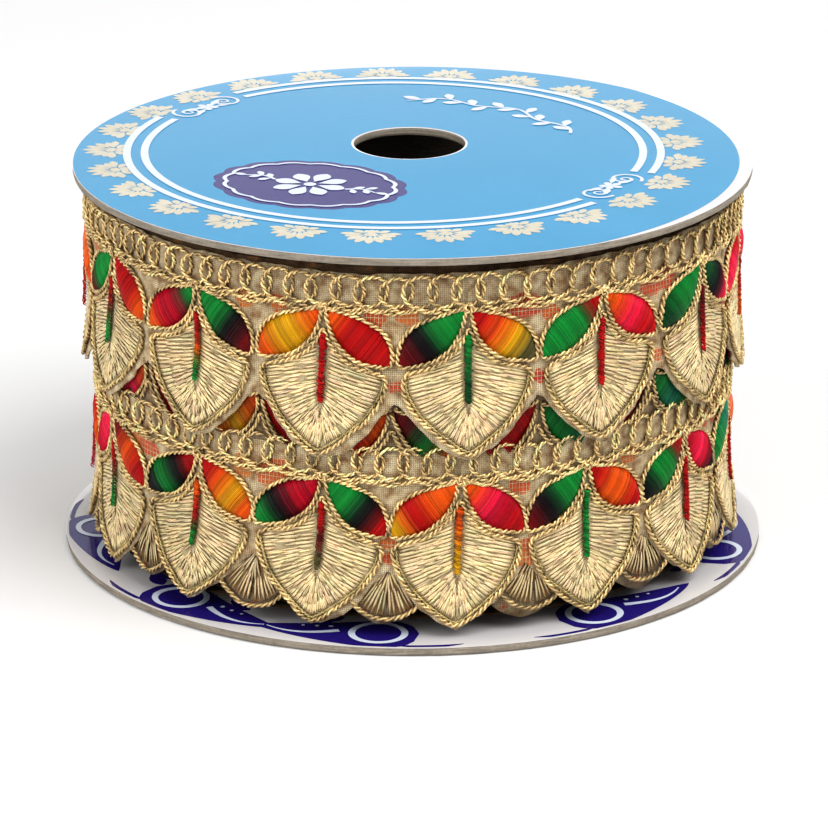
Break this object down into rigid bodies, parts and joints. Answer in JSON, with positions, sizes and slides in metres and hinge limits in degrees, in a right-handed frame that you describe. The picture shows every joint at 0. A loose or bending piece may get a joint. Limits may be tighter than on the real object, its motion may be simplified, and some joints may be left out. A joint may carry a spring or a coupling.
{
  "type": "roll of gota lace trim on a card reel",
  "caption": "Embroidered gold lace trim with satin leaves and hanging petals, wound in two rows on a printed card reel that stands on its lower disc.",
  "frame": {"origin": "centre of the lower disc's underside", "axes": "+Z along the reel's axis, upwards; -Y is the side that the picture shows"},
  "size_m": [0.1356, 0.1356, 0.0756],
  "materials": {
    "printed_board_lower": "glossy white print with navy ornament, bare board edge",
    "printed_board_upper": "glossy light blue print with cream and white ornament, bare board edge",
    "grey_board": "matt uncoated board",
    "gold_trim": "beige open weave with twisted gold cord, metallic stitches and satin thread"
  },
  "bodies": {
    "root": {"lower_flange": "printed_board_lower", "upper_flange": "printed_board_upper", "core_tube": "grey_board", "wound_trim": "gold_trim"}
  },
  "joints": []
}
